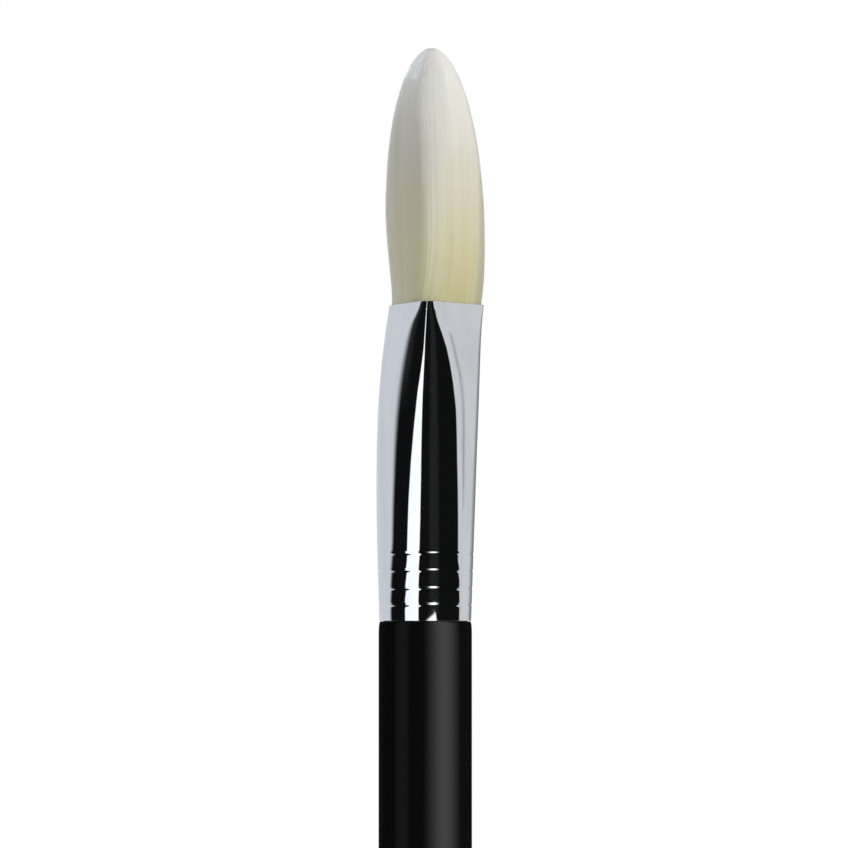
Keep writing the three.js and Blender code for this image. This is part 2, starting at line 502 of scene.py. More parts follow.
LACQUER = BlackLacquer("black_lacquer")
NICKEL = PolishedNickel("polished_nickel")
BARE_WOOD = GrainedFinish(
    "bare_tenon",
    dark=(0.40, 0.25, 0.13),
    light=(0.58, 0.40, 0.23),
    grain=(0.5, 0.5, 9.0),
    detail=5.0,
    contrast=(0.35, 0.65),
    roughness=0.62,
    roughness_spread=0.1,
    depth=0.02,
)
CAST_RESIN = GrainedFinish(
    "cast_resin",
    dark=(0.50, 0.28, 0.07),
    light=(0.64, 0.43, 0.16),
    grain=(1.2, 1.2, 1.2),
    detail=4.0,
    contrast=(0.3, 0.7),
    roughness=0.22,
    roughness_spread=0.15,
    depth=0.03,
)
SET_GLUE = GrainedFinish(
    "set_glue",
    dark=(0.70, 0.60, 0.35),
    light=(0.80, 0.73, 0.52),
    grain=(0.8, 0.8, 0.8),
    detail=4.0,
    contrast=(0.3, 0.7),
    roughness=0.35,
    roughness_spread=0.15,
    depth=0.03,
)
BINDING_THREAD = GrainedFinish(
    "binding_thread",
    dark=(0.52, 0.46, 0.34),
    light=(0.80, 0.75, 0.62),
    grain=(0.14, 0.14, 0.14),
    detail=3.0,
    contrast=(0.35, 0.65),
    roughness=0.8,
    roughness_spread=0.15,
    depth=0.03,
)


# Meshes


@dataclass
class Shape:
    """Points in millimetres and the faces between them."""

    points: np.ndarray
    faces: list[tuple[int, ...]]

    def piece(
        self, name: str, finishes: Sequence[Finish], crease: float | None = None
    ) -> bpy.types.Object:
        """Write the shape as an object of the scene.

        Args:
            name: The piece's name.
            finishes: The finishes of its material slots.
            crease: The angle in degrees from which an edge is sharp, if any is.

        Returns:
            The new object, smoothly shaded.
        """
        mesh = bpy.data.meshes.new(name)
        mesh.from_pydata((self.points * MM).tolist(), [], self.faces)
        mesh.shade_smooth()
        if crease is not None:
            mesh.set_sharp_from_angle(angle=math.radians(crease))
        for finish in finishes:
            mesh.materials.append(finish.material())
        made = bpy.data.objects.new(name, mesh)
        bpy.context.scene.collection.objects.link(made)
        return made


def loft(rings: Sequence[np.ndarray], looped: bool = False) -> Shape:
    """Join rings of points into one closed surface.

    Args:
        rings: The rings, each with as many points, or with one point where the surface closes.
        looped: Whether the last ring is joined to the first, as on a tube's wall.

    Returns:
        The surface, with its faces pointing out where the rings run up and turn left.
    """
    starts = np.cumsum([0, *(len(ring) for ring in rings)])
    faces: list[tuple[int, ...]] = []
    pairs = list(pairwise(range(len(rings))))
    if looped:
        pairs.append((len(rings) - 1, 0))
    for low, high in pairs:
        count = max(len(rings[low]), len(rings[high]))
        for i in range(count):
            j = (i + 1) % count
            corners = [(low, i), (low, j), (high, j), (high, i)]
            numbers = [int(starts[row]) + (k if len(rings[row]) > 1 else 0) for row, k in corners]
            faces.append(tuple(dict.fromkeys(numbers)))
    return Shape(np.vstack(rings), faces)


def direction(angle: np.ndarray | float) -> np.ndarray:
    """Unit vectors in the XY plane, at angles from +X."""
    return np.stack([np.cos(angle), np.sin(angle)], axis=-1)


def circle(radius: float, count: int) -> np.ndarray:
    """Points at even steps round a circle in the XY plane, from +X."""
    return direction(np.arange(count) * 2 * np.pi / count) * radius


def lifted(flat: np.ndarray, height: float) -> np.ndarray:
    """Points of the XY plane, lifted to a height."""
    return np.column_stack([flat, np.full(len(flat), height)])


def unit(vectors: np.ndarray) -> np.ndarray:
    """Vectors made one long, apart from those with no length."""
    return vectors / np.maximum(np.linalg.norm(vectors, axis=1, keepdims=True), TINY)


def curve(*poles: tuple[float, float], steps: int) -> np.ndarray:
    """Points on a Bezier curve, without its first.

    Args:
        poles: The curve's poles.
        steps: How many points there are.

    Returns:
        The points.
    """
    t = np.linspace(0, 1, steps + 1)[1:, None]
    points = [np.tile(np.array(pole, float), (steps, 1)) for pole in poles]
    while len(points) > 1:
        points = [a + (b - a) * t for a, b in pairwise(points)]
    return points[0]


@dataclass
class Section:
    """A rounded triangle: arcs of one radius about three corners, joined by flat sides."""

    reach: np.ndarray | float
    radius: np.ndarray | float
    shift: np.ndarray | float
    turn: np.ndarray | float = 0.0

    def ring(self, count: int) -> np.ndarray:
        """Points at even steps round the section, from the middle of its front corner.

        Args:
            count: How many points there are, a multiple of three.

        Returns:
            The points, in X and Y.
        """
        half_arc = self.radius * THIRD_TURN / 2
        side = 2 * half_arc + FLAT_PER_REACH * self.reach
        along = np.arange(count // 3) * side / (count // 3)
        before = np.minimum(along, half_arc) / self.radius
        after = np.maximum(along - side + half_arc, 0) / self.radius
        flat = np.clip(along - half_arc, 0, FLAT_PER_REACH * self.reach)
        thirds = []
        for corner in (FRONT_CORNER + self.turn + k * THIRD_TURN for k in range(3)):
            points = self.reach * direction(corner) + self.radius * direction(corner + before + after)
            thirds.append(points + flat[:, None] * direction(corner + THIRD_TURN / 2 + math.pi / 2))
        return np.vstack(thirds) + (self.shift, 0.0)

    def edge(self, angle: np.ndarray) -> np.ndarray:
        """Distance from the section's middle to its edge.

        Args:
            angle: The directions, from +X.

        Returns:
            The distances.
        """
        half = THIRD_TURN / 2
        offset = np.abs((angle - self.turn - FRONT_CORNER + half) % THIRD_TURN - half)
        arc_end = np.arctan2(self.radius * np.sin(half), self.reach + self.radius * np.cos(half))
        across = np.maximum(self.radius**2 - (self.reach * np.sin(offset)) ** 2, 0)
        arc = self.reach * np.cos(offset) + np.sqrt(across)
        flat = (self.reach / 2 + self.radius) / np.cos(half - offset)
        return np.where(offset < arc_end, arc, flat)

    def facing(self, local: np.ndarray) -> np.ndarray:
        """Which way the section faces next to points near its edge.

        Args:
            local: The points, in X and Y from the section's middle.

        Returns:
            The directions, as angles from +X.
        """
        half = THIRD_TURN / 2
        angle = np.arctan2(local[..., 1], local[..., 0]) - self.turn - FRONT_CORNER
        corner = np.round(angle / THIRD_TURN) * THIRD_TURN + self.turn + FRONT_CORNER
        arm = local - np.asarray(self.reach)[..., None] * direction(corner)
        lean = (np.arctan2(arm[..., 1], arm[..., 0]) - corner + np.pi) % (2 * np.pi) - np.pi
        return corner + np.clip(lean, -half, half)


# Sub-assemblies


@dataclass
class Ferrule:
    """The polished tube, round at the handle and three-sided at its mouth."""

    foot: float
    mouth: float
    wall: float = 0.3
    foot_radius: float = 4.72
    belly_swell: float = 0.43
    belly_height: float = 20.0
    corner_reach: float = 4.6
    corner_radius: float = 0.95
    lip: float = 0.9
    ease: float = 0.9
    mouth_offset: float = 0.88
    offset_power: float = 3.2
    crimp_heights: tuple[float, ...] = (1.62, 3.30, 5.12, 6.86)
    crimp_width: float = 0.46
    crimp_depth: float = 0.040
    foot_round: float = 0.015
    lip_round: float = 0.12
    around: int = 360
    ease_samples: int = 13
    crimp_rings: int = 15
    loft_rings: int = 90
    lip_rings: int = 8
    round_rings: int = 5
    foot_rings: tuple[float, ...] = (0.4, 0.8, 1.2)
    rings_by_round: tuple[float, ...] = (0.0, 0.005, 0.04)
    finish: Finish = NICKEL

    @property
    def length(self) -> float:
        """From the foot to the mouth."""
        return self.mouth - self.foot

    def crimp(self, height: np.ndarray) -> np.ndarray:
        """How far the rolled crimps press the wall in.

        Args:
            height: Heights above the foot.

        Returns:
            The depths.
        """
        off = np.min(np.abs(np.subtract.outer(height, self.crimp_heights)), axis=-1)
        return self.crimp_depth * np.cos(np.pi / 2 * np.minimum(1, 2 * off / self.crimp_width)) ** 2

    def section(self, height: np.ndarray, inset: np.ndarray | float = 0.0) -> Section:
        """The tube's section.

        Args:
            height: Heights above the foot.
            inset: How far inside the outer face it lies.

        Returns:
            The section at each height.
        """
        top = self.length - self.lip
        rise = np.clip(height / self.length, 0, 1)
        girth_share = 3 * FLAT_PER_REACH / (2 * np.pi)
        mouth_girth = self.corner_radius + self.corner_reach * girth_share
        belly = self.foot_radius + self.belly_swell
        lower = self.foot_radius + self.belly_swell * np.sin(np.pi / 2 * height / self.belly_height)
        fall = np.clip((height - self.belly_height) / (top - self.belly_height), 0, 1)
        upper = mouth_girth + (belly - mouth_girth) * np.cos(np.pi / 2 * fall)
        girth = np.where(height < self.belly_height, lower, upper)
        eased = np.linspace(-self.ease, self.ease, self.ease_samples)
        near = np.add.outer(height, eased) / top
        reach = self.corner_reach * np.mean(1 - np.sqrt(1 - np.clip(near, 0, 1) ** 2), axis=-1)
        radius = girth - reach * girth_share - self.crimp(height) - inset
        return Section(reach, radius, self.mouth_offset * rise**self.offset_power)

    def stations(self) -> np.ndarray:
        """Heights of the rings, close together at the crimps and where the corners form.

        Returns:
            The heights above the foot, in order.
        """
        across = np.linspace(-0.5, 0.5, self.crimp_rings) * self.crimp_width
        crimps = np.add.outer(self.crimp_heights, across).ravel()
        top = self.length - self.lip
        first = crimps.max() + self.crimp_width / 2
        turns = np.linspace(np.arcsin(first / top), np.pi / 2, self.loft_rings)
        near = np.array(self.rings_by_round)
        foot = [*(self.foot_round + near), *self.foot_rings]
        edge = self.length - self.lip_round
        lip = np.linspace(top, edge - near[-1], self.lip_rings)[1:]
        return np.concatenate([foot, crimps, top * np.sin(turns), lip, edge - near[1::-1]])

    def shape(self) -> Shape:
        """The tube's wall, with both ends rounded and half as many rings on its hidden inner face.

        Returns:
            The closed surface.
        """
        heights = self.stations()
        outer = [(h, 0.0) for h in heights]
        inner = [(h, self.wall) for h in heights[::-2]]
        turn = np.linspace(0, np.pi / 2, self.round_rings + 1)[1:]
        lip = [self.corner(self.lip_round, t) for t in turn]
        foot = [self.corner(self.foot_round, t) for t in turn]
        over = [(self.length - rise, inset) for rise, inset in lip]
        over += [(self.length - rise, self.wall - inset) for rise, inset in lip[::-1]]
        under = [(rise, self.wall - inset) for rise, inset in foot]
        under += foot[::-1]
        rings = []
        for height, inset in [*outer, *over, *inner, *under]:
            flat = self.section(np.float64(height), inset).ring(self.around)
            rings.append(lifted(flat, self.foot + height))
        return loft(rings, looped=True)

    @staticmethod
    def corner(radius: float, angle: float) -> tuple[float, float]:
        """A point of a rounded edge: its distances from the tube's end and from its face."""
        return radius * (1 - math.sin(angle)), radius * (1 - math.cos(angle))

    def build(self) -> bpy.types.Object:
        """Make the ferrule.

        Returns:
            The piece that stands for the model's ferrule.
        """
        made = self.shape().piece("ferrule_shell", [self.finish])
        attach(made, "root")
        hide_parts("ferrule")
        return made


@dataclass
class Handle:
    """The turned handle, lacquered up to its shoulder, with a bare tenon."""

    tenon_end: float
    ferrule: Ferrule
    grip_radius: float = 4.8
    grip_length: float = 32.0
    butt_radius: float = 2.9
    butt_round: float = 4.5
    butt_flat: float = 1.2
    ease_depth: float = 0.2
    ease_length: float = 1.3
    tenon_length: float = 12.0
    tenon_radius: float = 4.32
    tenon_tip_radius: float = 3.95
    chamfer: float = 0.7
    lacquer_overrun: float = 1.0
    crease: float = 40.0
    around: int = 144
    finishes: tuple[Finish, Finish] = (LACQUER, BARE_WOOD)

    def profile(self) -> np.ndarray:
        """The outline, from the butt's middle to the tenon's end.

        Returns:
            The radius and the height at each of its points.
        """
        shoulder = self.tenon_end - self.tenon_length
        taper_top = shoulder - self.grip_length
        pull = (taper_top - self.butt_round) / 3
        butt, grip = self.butt_radius, self.grip_radius
        flat = np.linspace((0.0, 0.0), (self.butt_flat, 0.0), 3)
        end = curve((self.butt_flat, 0), (butt, 0), (butt, self.butt_round), steps=14)
        low = (butt, self.butt_round + pull)
        high = (grip, taper_top - pull)
        taper = curve((butt, self.butt_round), low, high, (grip, taper_top), steps=40)
        straight = curve((grip, taper_top), (grip, shoulder - self.ease_length), steps=12)
        eased = (grip - self.ease_depth, shoulder)
        ease = curve((grip, shoulder - self.ease_length), (grip, shoulder), eased, steps=10)
        ledge = curve(eased, (self.tenon_radius, shoulder), steps=2)
        above = self.ferrule.stations()
        above = above[above < max(self.ferrule.crimp_heights) + self.ferrule.crimp_width]
        pressed = self.tenon_radius - self.ferrule.crimp(above)
        neck = np.column_stack([pressed, self.ferrule.foot + above])
        tip = self.tenon_tip_radius
        cone = (tip, self.tenon_end - self.chamfer)
        cut = (tip - self.chamfer, self.tenon_end)
        close = np.array([cone, cut, (cut[0] / 2, self.tenon_end), (0.0, self.tenon_end)])
        return np.vstack([flat, end, taper, straight, ease, ledge, neck, close])

    def build(self) -> bpy.types.Object:
        """Make the handle.

        Returns:
            The piece that stands for the model's handle.
        """
        rings = []
        for radius, height in self.profile():
            flat = circle(radius, self.around) if radius > 0 else np.zeros((1, 2))
            rings.append(lifted(flat, height))
        made = loft(rings).piece("lacquered_handle", self.finishes, self.crease)
        bare = (self.tenon_end - self.tenon_length + self.lacquer_overrun) * MM
        for face in made.data.polygons:
            face.material_index = int(face.center.z > bare)
        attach(made, "root")
        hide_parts("handle")
        return made


@dataclass
class TuftForm:
    """The outer form of the tuft, in heights above the ferrule's mouth.

    Light scattered among filaments makes its sides look rounder than they are, so they are shaded
    with only a share of their flatness, which flat_shares gives by height.
    """

    ferrule: Ferrule
    length: float
    clearance: float = 0.02
    belly_height: float = 9.0
    belly_corner: float = 1.12
    swell_power: float = 1.7
    sway: float = 0.27
    sway_height: float = 4.5
    tip_offset: float = 0.64
    tip_reach_share: float = 0.35
    tip_power: float = 1.5
    twist: float = math.radians(8.2)
    twist_height: float = 10.0
    front_width_share: float = 1.719
    flat_shares: tuple[tuple[float, float], ...] = (
        (0.0, 0.3), (11.0, 0.6), (16.0, 0.72), (21.0, 0.42), (26.0, 0.1),
    )
    slope_step: float = 0.05

    def fullness(self, out: np.ndarray) -> np.ndarray:
        """The tuft's width as a share of its belly's, which falls along half an ellipse."""
        rise = np.clip((out - self.belly_height) / (self.length - self.belly_height), 0, 1)
        return np.sqrt(1 - rise**2)

    def section(self, out: np.ndarray) -> Section:
        """The tuft's section: the bore below the mouth, and above it the trimmed form.

        Args:
            out: Heights above the mouth.

        Returns:
            The section at each height.
        """
        inset = self.ferrule.wall + self.clearance
        bore = self.ferrule.section(np.minimum(out, 0) + self.ferrule.length, inset)
        share = np.clip(out / self.belly_height, 0, 1)
        swell = 1 - (1 - share) ** self.swell_power
        rise = np.clip((out - self.belly_height) / (self.length - self.belly_height), 0, 1)
        fullness = self.fullness(out)
        draw_in = 1 - (1 - self.tip_reach_share) * rise**self.tip_power
        reach = bore.reach * fullness * draw_in
        mouth_corner = self.ferrule.corner_radius - self.ferrule.wall - self.clearance
        corner = mouth_corner + (self.belly_corner - mouth_corner) * swell
        width = (self.front_width_share * self.ferrule.corner_reach + 2 * corner) * fullness
        above = (width - self.front_width_share * reach) / 2
        climb = np.clip(out / self.length, 0, 1)
        stage = np.maximum(out, 0) / self.sway_height
        bend = self.tip_offset - self.ferrule.mouth_offset
        offset = self.ferrule.mouth_offset + self.sway * stage * np.exp(1 - stage) + bend * climb**2
        shift = np.where(out > 0, offset, bore.shift)
        turn = self.twist * (1 - np.clip(1 - out / self.twist_height, 0, 1) ** 2)
        turn = np.where(out > 0, turn, 0)
        return Section(reach, np.where(out > 0, above, bore.radius), shift, turn)

    def normals(self, points: np.ndarray) -> np.ndarray:
        """Which way the tuft's outer form faces next to points in it.

        Args:
            points: The points, in millimetres.

        Returns:
            Unit vectors.
        """
        out = points[..., 2] - self.ferrule.mouth
        section = self.section(out)
        local = points[..., :2] - np.stack([section.shift, np.zeros_like(out)], axis=-1)
        bearing = np.arctan2(local[..., 1], local[..., 0])
        step = self.slope_step
        above, below = (self.section(out + d).edge(bearing) for d in (step, -step))
        slope = np.arctan2(below - above, 2 * step)
        flat_share = np.interp(out, *zip(*self.flat_shares, strict=True))
        rounder = Section(section.reach * flat_share, section.radius, section.shift, section.turn)
        flat = direction(rounder.facing(local)) * np.cos(slope)[..., None]
        return np.concatenate([flat, np.sin(slope)[..., None]], axis=-1)


@dataclass
class Strands:
    """The fine filaments that fill the outside of the tuft."""

    form: TuftForm
    pitch: float = 0.085
    seat_spread: float = 0.22
    end_spread: float = 0.004
    longest_share: float = 0.999
    width: float = 0.14
    crown: float = 0.03
    sunk: float = 0.02
    tip_share: float = 0.25
    taper_start: float = 0.8
    inner_share: float = 0.74
    gather: float = 0.08
    root_depth: float = 5.0
    wave: float = 0.012
    wave_radius: float = 5.0
    wave_turns: tuple[float, float] = (2.0, 6.0)
    wave_starts: tuple[float, float] = (0.0, 6.0)
    own_shade: float = 0.2
    lock_waves: tuple[int, ...] = (7, 13, 31, 53)
    lock_tone: float = 0.12
    own_tone: float = 0.12
    stations: int = 12
    station_power: float = 0.8
    seed: int = 20

    MAP: ClassVar[str] = "OFBake"
    TONES: ClassVar[int] = 64
    COLUMN: ClassVar[tuple[float, float, float]] = (0.2, 0.5, 0.8)

    def seats(self, draw: np.random.Generator) -> tuple[np.ndarray, np.ndarray]:
        """Where the filaments cross the mouth.

        Args:
            draw: The source of random numbers.

        Returns:
            Each filament's direction from the middle, and its share of the way out to the edge.
        """
        mouth = self.form.section(np.float64(0.0))
        span = int((mouth.reach + mouth.radius) / (ROW_RISE * self.pitch)) + 2
        row, column = np.mgrid[-span : span + 1, -span : span + 1].reshape(2, -1)
        places = np.column_stack([column + row / 2, row * ROW_RISE]) * self.pitch
        places += draw.normal(0, self.seat_spread * self.pitch, places.shape)
        angle = np.arctan2(places[:, 1], places[:, 0])
        share = np.hypot(places[:, 0], places[:, 1]) / mouth.edge(angle)
        kept = (share > self.inner_share) & (share < 1)
        return angle[kept], share[kept]

    def paths(self, draw: np.random.Generator) -> tuple[np.ndarray, np.ndarray]:
        """The filaments' middles.

        Args:
            draw: The source of random numbers.

        Returns:
            Points by filament and station, and each filament's direction from the tuft's middle.
        """
        angle, share = self.seats(draw)
        count = len(angle)
        end_share = share * (1 + draw.normal(0, self.end_spread, count))
        end_fullness = np.clip(end_share, 0, self.longest_share) ** (1 / self.gather)
        top = self.form.belly_height
        end = top + (self.form.length - top) * np.sqrt(1 - end_fullness**2)
        along = np.linspace(0, 1, self.stations) ** self.station_power
        out = -self.root_depth + (end[:, None] + self.root_depth) * along
        section = self.form.section(out)
        local = np.minimum(share[:, None] / self.form.fullness(out) ** self.gather, 1)
        lean = draw.normal(0, 1, (count, 2))
        turns = draw.uniform(*self.wave_turns, count)
        starts = draw.uniform(*self.wave_starts, count)
        sway = lean[:, :, None] * np.sin(along * turns[:, None] + starts[:, None])[:, None, :]
        turned = angle[:, None] + section.turn + sway[:, 0] * self.wave / self.wave_radius
        away = section.edge(turned) * local - np.abs(sway[:, 1]) * self.wave
        flat = direction(turned) * away[:, :, None]
        points = np.concatenate([flat, self.form.ferrule.mouth + out[:, :, None]], axis=2)
        points[:, :, 0] += section.shift
        return points, angle

    def build(self) -> list[bpy.types.Object]:
        """Make the filaments.

        Returns:
            One piece for each side of the tuft.
        """
        draw = np.random.default_rng(self.seed)
        points, angle = self.paths(draw)
        tone = self.tones(angle, draw)
        sides = np.floor(((angle - FRONT_CORNER) % (2 * np.pi)) / THIRD_TURN).astype(int)
        names = ("filaments_right", "filaments_back", "filaments_left")
        finish = Fibre("filament", FibreForm.STRAND, self.form.ferrule.mouth, self.form.length)
        made = []
        for side, name in enumerate(names):
            chosen = sides == side
            shape = self.shape(points[chosen])
            piece = shape.piece(name, [finish])
            self.lay_map(piece, points[chosen], tone[chosen])
            self.face_out(piece, shape, points[chosen])
            # Light passes through filaments this fine, and the bed casts the tuft's shadow.
            piece.visible_shadow = False
            piece.visible_diffuse = False
            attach(piece, "root")
            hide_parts("filament_tuft")
            made.append(piece)
        return made

    def tones(self, angle: np.ndarray, draw: np.random.Generator) -> np.ndarray:
        """The filaments' tones, alike among neighbours, since they lie in locks.

        Args:
            angle: Each filament's direction from the tuft's middle.
            draw: The source of random numbers.

        Returns:
            Each filament's tone, from 0 to below TONES.
        """
        locks = np.zeros_like(angle)
        for waves in self.lock_waves:
            locks += np.sin(waves * angle + draw.uniform(0, 2 * np.pi))
        own = draw.normal(0, self.own_tone, len(angle))
        share = 0.5 + self.lock_tone * locks + own
        return np.clip(share * self.TONES, 0, self.TONES - 1).astype(int)

    def shape(self, points: np.ndarray) -> Shape:
        """Three-sided filaments with a low crown outwards, drawn to a point at the end.

        Args:
            points: Their middles, by filament and station.

        Returns:
            The closed filaments.
        """
        count, stations = points.shape[:2]
        along = np.linspace(0, 1, stations)
        taper = np.clip((along - self.taper_start) / (1 - self.taper_start), 0, 1)
        size = (1 - (1 - self.tip_share) * taper)[:, None]
        out = points[:, :, 2] - self.form.ferrule.mouth
        section = self.form.section(out)
        local = points[:, :, :2] - np.stack([section.shift, np.zeros_like(out)], axis=-1)
        facing = section.facing(local)
        outward, aside = direction(facing), direction(facing + np.pi / 2)
        corners = [
            self.crown * outward,
            self.width / 2 * aside - self.sunk * outward,
            -self.width / 2 * aside - self.sunk * outward,
        ]
        offset = np.zeros((count, stations, 3, 3))
        offset[:, :, :, :2] = np.stack([corner * size for corner in corners], axis=2)
        rings = (points[:, :, None, :] + offset).reshape(count, stations * 3, 3)
        apex = points[:, -1:, :] + (0, 0, self.crown)
        each = stations * 3 + 1
        faces: list[tuple[int, ...]] = [(2, 1, 0)]
        for k in range(stations - 1):
            for i in range(3):
                j = (i + 1) % 3
                faces.append((3 * k + i, 3 * k + j, 3 * k + 3 + j, 3 * k + 3 + i))
        last = 3 * (stations - 1)
        faces += [(last + i, last + (i + 1) % 3, each - 1) for i in range(3)]
        starts = range(0, count * each, each)
        every = [tuple(n + start for n in face) for start in starts for face in faces]
        return Shape(np.concatenate([rings, apex], axis=1).reshape(-1, 3), every)

    def lay_map(self, piece: bpy.types.Object, points: np.ndarray, tone: np.ndarray) -> None:
        """Lay the filaments out by tone across and by height up, so that like ones share a column.

        Args:
            piece: The filaments.
            points: Their middles, by filament and station.
            tone: Each filament's tone.
        """
        count, stations = points.shape[:2]
        column = np.append(np.tile(self.COLUMN, stations), self.COLUMN[1])
        across = (tone[:, None] + column) / self.TONES
        heights = np.repeat(points[:, :, 2], 3, axis=1)
        tips = points[:, -1:, 2] + self.crown
        low = self.form.ferrule.mouth - self.root_depth
        up = (np.concatenate([heights, tips], axis=1) - low) / (self.form.length + self.root_depth)
        flat = np.stack([across, np.clip(up, 0, 1)], axis=-1).reshape(-1, 2)
        layer = piece.data.uv_layers.new(name=self.MAP)
        corners = np.empty(len(piece.data.loops), np.int32)
        piece.data.loops.foreach_get("vertex_index", corners)
        layer.data.foreach_set("uv", flat[corners].astype(np.float32).ravel())

    def face_out(self, piece: bpy.types.Object, shape: Shape, points: np.ndarray) -> None:
        """Shade the filaments mostly as the tuft's sides, as light scattered among them does.

        Args:
            piece: The filaments.
            shape: Their points.
            points: Their middles, by filament and station.
        """
        middles = np.concatenate([np.repeat(points, 3, axis=1), points[:, -1:]], axis=1)
        middles = middles.reshape(-1, 3)
        own = unit(shape.points - middles)
        mixed = self.own_shade * own + (1 - self.own_shade) * self.form.normals(middles)
        piece.data.normals_split_custom_set_from_vertices(unit(mixed).tolist())


@dataclass
class TuftBed:
    """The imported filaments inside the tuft, seen between the outer ones."""

    form: TuftForm
    root_depth: float = 6.45
    share: float = 0.965
    top_share: float = 0.99
    least_girth: float = 0.5
    ridge: float = 0.02
    ridges: int = 97
    fine_ridges: int = 59
    fine_share: float = 0.6
    around: int = 384
    levels: int = 90

    def build(self) -> bpy.types.Object:
        """Make the bed.

        Returns:
            A piece that stands, with the filaments, for the model's tuft.
        """
        turn = np.linspace(0, np.pi / 2, self.levels)
        top = self.form.length * self.top_share
        rise = (top + self.root_depth) * np.sin(turn[1:-1])
        heights = np.concatenate([[-self.root_depth], -self.root_depth + rise])
        rings = []
        phase = np.arange(self.around) * 2 * np.pi / self.around
        for out in heights:
            section = self.form.section(np.float64(out))
            ring = section.ring(self.around) - (section.shift, 0)
            girth = section.reach + section.radius
            fine = self.fine_share * np.sin(phase * self.fine_ridges + out)
            fold = (np.sin(phase * self.ridges) + fine) / (1 + self.fine_share)
            scale = self.share - self.ridge * (1 + fold) / max(girth, self.least_girth) / 2
            ring = ring * scale[:, None] + (section.shift, 0)
            rings.append(lifted(ring, self.form.ferrule.mouth + out))
        tip = self.form.section(np.float64(top))
        rings.append(np.array([[tip.shift, 0.0, self.form.ferrule.mouth + top]]))
        foot = self.form.section(np.float64(-self.root_depth))
        rings.insert(0, np.array([[foot.shift, 0.0, self.form.ferrule.mouth - self.root_depth]]))
        finish = Fibre("filament_bed", FibreForm.BED, self.form.ferrule.mouth, self.form.length)
        made = loft(rings).piece("filament_bed", [finish])
        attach(made, "root")
        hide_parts("filament_tuft")
        return made


@dataclass
class InnerPieces:
    """What is set inside the ferrule, carried over from the model with finishes of its own."""

    finishes: tuple[tuple[str, Finish], ...] = (
        ("root_plug", CAST_RESIN),
        ("root_binding", BINDING_THREAD),
        ("tenon_glue", SET_GLUE),
    )

    def dress(self) -> list[bpy.types.Object]:
        """Give each inner piece its finish.

        Returns:
            The dressed pieces.
        """
        dressed = []
        for node, finish in self.finishes:
            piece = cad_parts[node]
            piece.data.materials.clear()
            piece.data.materials.append(finish.material())
            dressed.append(piece)
        return dressed


# Studio


Edge = float | tuple[tuple[float, float], ...]


@dataclass(frozen=True)
class Panel:
    """A lit panel of a tent, between two upright or leaning edges.

    An edge is a bearing in degrees from the front, +X being at 90, or a row of heights above the
    ferrule's foot with the bearing at each. Its softness, in degrees, is given in the same way.
    """

    start: Edge
    end: Edge
    soft_start: Edge
    soft_end: Edge
    level: float
    top: float | None = None
    top_lean: float = 0.0
    bottom: float | None = None
    seam: float = 0.3


@dataclass(frozen=True)
class TentGlow(Finish):
    """What polished and lacquered surfaces mirror: dark cloth with lit panels."""

    panels: tuple[Panel, ...]
    foot: float
    gauze: bool
    left_tint: Colour
    right_tint: Colour
    dark: float = 0.006
    tint_bearings: tuple[float, float] = (-60.0, 0.0)

    def edge(self, graph: Graph, height: Wire, edge: Edge) -> Operand:
        """The bearing of a panel's edge.

        Args:
            graph: The graph.
            height: The height above the ferrule's foot.
            edge: The edge.

        Returns:
            Its bearing at that height.
        """
        if not isinstance(edge, tuple):
            return edge
        heights, bearings = zip(*edge, strict=True)
        low, high = heights[0], heights[-1]
        least, most = min(bearings), max(bearings)
        places = [(h - low) / (high - low) for h in heights]
        levels = [(b - least) / (most - least) for b in bearings]
        stops = [(place, (level,) * 3) for place, level in zip(places, levels, strict=True)]
        run = graph.add("ShaderNodeValToRGB", {"stops": stops}, {0: (height - low) / (high - low)})
        return least + (most - least) * run

    def lit(self, graph: Graph, bearing: Wire, height: Wire, panel: Panel) -> Wire:
        """How far a panel lights a place on the tent.

        Args:
            graph: The graph.
            bearing: The bearing of the place, in degrees.
            height: Its height above the ferrule's foot.
            panel: The panel.

        Returns:
            1 on the panel and 0 beside it.
        """
        start, end, soft_start, soft_end = (
            self.edge(graph, height, edge)
            for edge in (panel.start, panel.end, panel.soft_start, panel.soft_end)
        )
        lit = graph.ramp((bearing - start) / soft_start, -1.0, 1.0)
        lit = lit * graph.ramp((bearing - end) / soft_end, -1.0, 1.0, 1.0, 0.0)
        if panel.top is not None:
            over = height - panel.top_lean * (bearing - start)
            lit = lit * graph.ramp(over, panel.top - panel.seam, panel.top + panel.seam, 1.0, 0.0)
        if panel.bottom is not None:
            lit = lit * graph.ramp(height, panel.bottom - panel.seam, panel.bottom + panel.seam)
        return lit

    def surface(self, graph: Graph) -> Wire:
        """The tent's shader.

        Args:
            graph: The graph that its nodes are added to.

        Returns:
            The shader.
        """
        x, y, z = graph.parts(graph.place())
        bearing = graph.math("ARCTAN2", x, 0 - y) * DEGREES
        height = z / MM - self.foot
        total: Operand = self.dark
        for panel in self.panels:
            total = total + panel.level * self.lit(graph, bearing, height, panel)
        side = graph.ramp(bearing, *self.tint_bearings)
        tint = graph.mix(side, self.left_tint, self.right_tint)
        glow = graph.add("ShaderNodeEmission", sockets={"Color": graph.tint(tint, total)})
        if not self.gauze:
            return glow
        clear = graph.add("ShaderNodeBsdfTransparent")
        return graph.add("ShaderNodeAddShader", sockets={0: glow, 1: clear})


